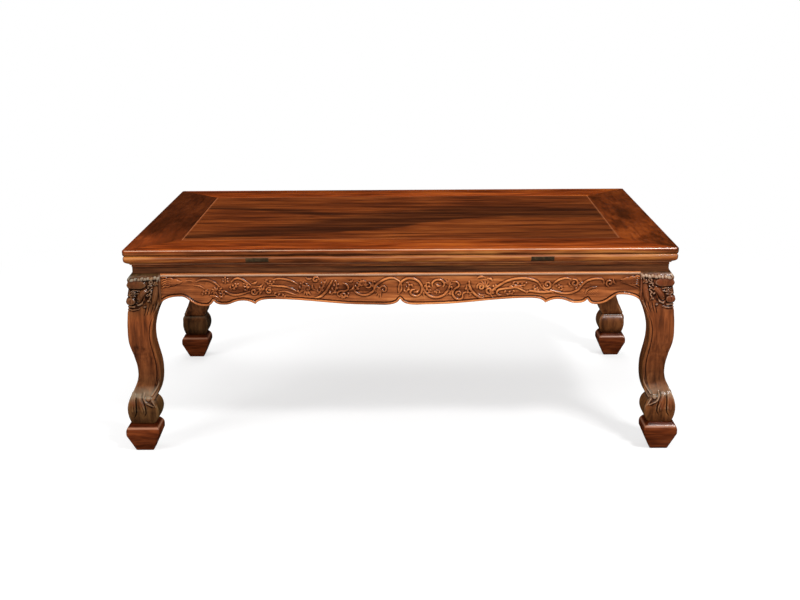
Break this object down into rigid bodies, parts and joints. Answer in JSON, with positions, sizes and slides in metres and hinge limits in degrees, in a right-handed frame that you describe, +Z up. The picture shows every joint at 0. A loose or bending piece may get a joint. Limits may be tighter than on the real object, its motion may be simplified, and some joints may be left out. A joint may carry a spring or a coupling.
{
  "type": "kang table",
  "caption": "Low waisted hardwood table: mitred frame with a floating panel, carved cusped aprons, and cabriole legs with masked shoulders and clawed balls on square pads.",
  "frame": {"origin": "on the floor, under the middle of the table top, midway between the foot pads", "axes": "+X along the table to its right, +Y to its back, +Z up"},
  "size_m": [0.814, 0.534, 0.305],
  "materials": {
    "frame_wood": "satin",
    "panel_wood": "satin",
    "waist_wood": "satin",
    "apron_wood": "satin",
    "leg_wood": "satin",
    "pad_wood": "gloss",
    "batten_wood": "matt"
  },
  "bodies": {
    "root": {"long_rail_front": "frame_wood", "long_rail_back": "frame_wood", "short_rail_left": "frame_wood", "short_rail_right": "frame_wood", "top_panel": "panel_wood", "batten_left": "batten_wood", "batten_right": "batten_wood", "waist_front": "waist_wood", "waist_back": "waist_wood", "waist_left": "waist_wood", "waist_right": "waist_wood", "apron_front": "apron_wood", "apron_back": "apron_wood", "apron_left": "apron_wood", "apron_right": "apron_wood", "leg_front_left": "leg_wood", "foot_pad_front_left": "pad_wood", "apron_key_front_left": "batten_wood", "leg_front_right": "leg_wood", "foot_pad_front_right": "pad_wood", "apron_key_front_right": "batten_wood", "leg_back_left": "leg_wood", "foot_pad_back_left": "pad_wood", "apron_key_back_left": "batten_wood", "leg_back_right": "leg_wood", "foot_pad_back_right": "pad_wood", "apron_key_back_right": "batten_wood", "apron_key_left": "batten_wood", "apron_key_right": "batten_wood"}
  },
  "joints": []
}
